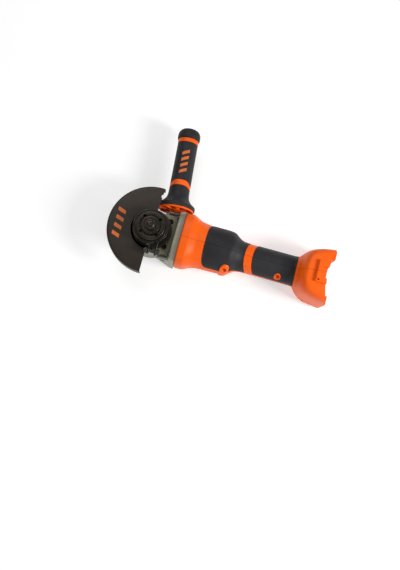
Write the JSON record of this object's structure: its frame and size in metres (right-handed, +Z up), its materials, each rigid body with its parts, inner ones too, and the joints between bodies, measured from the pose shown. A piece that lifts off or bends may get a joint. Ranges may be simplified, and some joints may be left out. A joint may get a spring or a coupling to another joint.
{
  "type": "angle grinder",
  "caption": "Cordless angle grinder without its battery: geared head with spindle, clamp flanges and guard, slim body with soft panels, battery foot and a side handle.",
  "frame": {"origin": "middle of the bounding box's lower face, on the plane that the grinder lies on", "axes": "+X from the geared head to the battery foot, +Y towards the side handle, +Z up along the output spindle"},
  "size_m": [0.318, 0.221, 0.0878],
  "materials": {
    "steel": "satin",
    "black_steel": "satin black oxide",
    "cast_metal": "sand-cast, satin",
    "cover_metal": "satin dark brown",
    "guard_metal": "satin dark brown",
    "casing_plastic": "semi-gloss orange",
    "panel_rubber": "soft charcoal overmould",
    "dark_plastic": "matt black",
    "copper": "lacquered copper wire",
    "board": "green circuit board"
  },
  "bodies": {
    "body": {"spindle_bearing_lower": "steel", "spindle_bearing_upper": "steel", "lock_spring": "steel", "terminal_blade_1": "steel", "terminal_blade_2": "steel", "motor_bearing_front": "steel", "motor_bearing_rear": "steel", "handle_stud": "steel", "housing_screw_1": "black_steel", "housing_screw_2": "black_steel", "housing_screw_3": "black_steel", "housing_screw_4": "black_steel", "cover_screw_1": "black_steel", "cover_screw_2": "black_steel", "cover_screw_3": "black_steel", "cover_screw_4": "black_steel", "casing_screw_1": "black_steel", "casing_screw_2": "black_steel", "casing_screw_3": "black_steel", "casing_screw_4": "black_steel", "casing_screw_5": "black_steel", "stator": "black_steel", "gear_housing": "cast_metal", "controller_tray": "cast_metal", "bearing_cover": "cover_metal", "casing_left": "casing_plastic", "casing_right": "casing_plastic", "handle_core": "casing_plastic", "motor_panel_left": "panel_rubber", "motor_panel_right": "panel_rubber", "grip_panel_left": "panel_rubber", "grip_panel_right": "panel_rubber", "palm_panel_left": "panel_rubber", "palm_panel_right": "panel_rubber", "handle_flare": "panel_rubber", "handle_grip": "panel_rubber", "handle_end_cap": "panel_rubber", "switch_module": "dark_plastic", "terminal_block": "dark_plastic", "fan_baffle": "dark_plastic", "winding_front": "copper", "winding_rear": "copper", "controller_board": "board"},
    "spindle": {"spindle": "black_steel", "spindle_key": "steel", "gear_retaining_ring": "steel", "ring_gear": "steel", "inner_flange": "black_steel", "lock_nut": "black_steel"},
    "rotor": {"rotor_shaft": "steel", "rotor_core": "black_steel", "pinion": "steel", "fan": "dark_plastic"},
    "guard": {"guard_shell": "guard_metal", "guard_band": "steel", "clamp_screw": "black_steel", "clamp_nut": "black_steel"},
    "lock_button": {"lock_button": "dark_plastic"},
    "slide": {"thumb_slide": "dark_plastic", "switch_link": "dark_plastic"}
  },
  "joints": [
    {"name": "spindle_spin", "type": "hinge", "parent": "body", "child": "spindle", "pos_m": [-0.098, -0.04948, 0.033], "axis": [0, 0, 1], "continuous": true},
    {"name": "rotor_spin", "type": "hinge", "parent": "body", "child": "rotor", "pos_m": [-0.098, -0.04948, 0.033], "axis": [1, 0, 0], "continuous": true},
    {"name": "guard_swing", "type": "hinge", "parent": "body", "child": "guard", "pos_m": [-0.098, -0.04948, 0.033], "axis": [0, 0, 1], "range_deg": [0, 45]},
    {"name": "lock_press", "type": "slide", "parent": "body", "child": "lock_button", "axis": [0, 0, 1], "range_m": [0, 0.0045], "stiffness_N_per_m": 500, "springref_m": -0.003, "deforming": ["lock_spring"]},
    {"name": "slide_switch", "type": "slide", "parent": "body", "child": "slide", "axis": [-1, 0, 0], "range_m": [0, 0.008]}
  ],
  "couplings": [
    {"joint": "rotor_spin", "follows": "spindle_spin", "ratio": -3.2}
  ]
}
